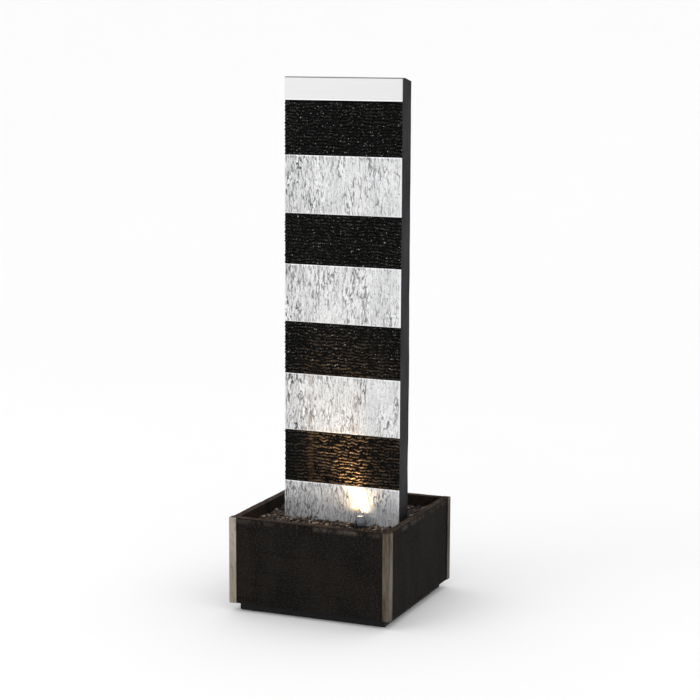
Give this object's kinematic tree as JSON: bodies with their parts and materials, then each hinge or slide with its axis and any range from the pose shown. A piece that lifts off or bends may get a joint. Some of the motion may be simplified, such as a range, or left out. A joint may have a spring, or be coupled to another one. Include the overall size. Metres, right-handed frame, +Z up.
{
  "type": "water fountain",
  "caption": "Indoor water wall: a ridged slate slab with bands of folded stainless, standing in a square slate basin with gravel, a hidden pump and a small spot lamp.",
  "frame": {"origin": "on the floor under the middle of the basin", "axes": "+Z up along the tower, +X to the right along the basin's front, +Y to the back; the banded face looks to -Y"},
  "size_m": [0.35, 0.35, 1.0775],
  "materials": {
    "basin_slate": "natural cleft slate, sealed, nearly black",
    "tower_slate": "sawn and chipped slate, wet",
    "corner_steel": "brushed stainless angle",
    "band_steel": "brushed stainless sheet with running water",
    "fitting_steel": "satin stainless",
    "reservoir_plastic": "moulded black",
    "gravel": "small dark brown stones",
    "foot_rubber": "matte",
    "lead_rubber": "smooth black jacket",
    "pump_plastic": "moulded black",
    "dial_plastic": "moulded light grey",
    "pump_coil": "resin-potted winding",
    "rotor_ferrite": "ground ferrite",
    "shaft_ceramic": "polished",
    "hose_vinyl": "milky vinyl",
    "fitting_plastic": "moulded black",
    "lamp_grey": "blue-grey satin",
    "lamp_glass": "clear",
    "lamp_emitter": "warm light source on its board"
  },
  "bodies": {
    "fountain": {"bearer_bolt_left": "fitting_steel", "bearer_bolt_right": "fitting_steel", "corner_angle_back_left": "corner_steel", "corner_angle_back_right": "corner_steel", "corner_angle_front_left": "corner_steel", "corner_angle_front_right": "corner_steel", "cover_screw_lower": "fitting_steel", "cover_screw_upper": "fitting_steel", "gravel_bed_front": "gravel", "gravel_tray_front": "reservoir_plastic", "hose_clamp_pump": "fitting_steel", "hose_clamp_top": "fitting_steel", "lamp_bracket": "fitting_steel", "lamp_lead": "lead_rubber", "lamp_pivot_screw_left": "fitting_steel", "lamp_pivot_screw_right": "fitting_steel", "power_socket": "fitting_plastic", "pump_back_cover": "pump_plastic", "pump_coil": "pump_coil", "pump_housing": "pump_plastic", "pump_lead": "lead_rubber", "pump_pad_front": "foot_rubber", "pump_pad_rear": "foot_rubber", "reservoir": "reservoir_plastic", "riser_channel_cover": "fitting_steel", "riser_elbow": "fitting_plastic", "riser_hose": "hose_vinyl", "rotor_shaft": "shaft_ceramic", "rubber_foot_1": "foot_rubber", "rubber_foot_2": "foot_rubber", "rubber_foot_3": "foot_rubber", "rubber_foot_4": "foot_rubber", "slate_panel_back": "basin_slate", "slate_panel_front": "basin_slate", "slate_panel_left": "basin_slate", "slate_panel_right": "basin_slate", "socket_nut": "fitting_steel", "spreader_pipe": "fitting_steel", "steel_band_1": "band_steel", "steel_band_2": "band_steel", "steel_band_3": "band_steel", "steel_band_4": "band_steel", "top_cap": "band_steel", "tower_shoe": "fitting_steel", "tower_slab": "tower_slate", "tray_bearer_front": "fitting_steel", "tray_bearer_rear": "fitting_steel", "volute_cover": "pump_plastic"},
    "rear_tray": {"gravel_tray_rear": "reservoir_plastic", "gravel_bed_rear": "gravel"},
    "rotor": {"impeller": "pump_plastic", "rotor_magnet": "rotor_ferrite"},
    "strainer": {"strainer_cover": "pump_plastic"},
    "flow_dial": {"flow_dial": "dial_plastic"},
    "lamp": {"lamp_housing": "lamp_grey", "lamp_bezel": "fitting_steel", "lamp_lens": "lamp_glass", "lamp_led_module": "lamp_emitter"}
  },
  "joints": [
    {"name": "rear_tray_lift", "type": "slide", "parent": "fountain", "child": "rear_tray", "axis": [0, 0, 1], "range_m": [0, 0.15]},
    {"name": "impeller_spin", "type": "hinge", "parent": "fountain", "child": "rotor", "pos_m": [0.01225, 0.0465, 0.0331], "axis": [1, 0, 0], "continuous": true},
    {"name": "strainer_pull", "type": "slide", "parent": "fountain", "child": "strainer", "axis": [-1, 0, 0], "range_m": [0, 0.03]},
    {"name": "flow_dial_turn", "type": "hinge", "parent": "strainer", "child": "flow_dial", "pos_m": [-0.01535, 0.0465, 0.0331], "axis": [-1, 0, 0], "range_deg": [0, 90]},
    {"name": "lamp_tilt", "type": "hinge", "parent": "fountain", "child": "lamp", "pos_m": [0.06425, -0.057, 0.183], "axis": [0.848, 0.5299, 0], "range_deg": [-20, 44]}
  ]
}
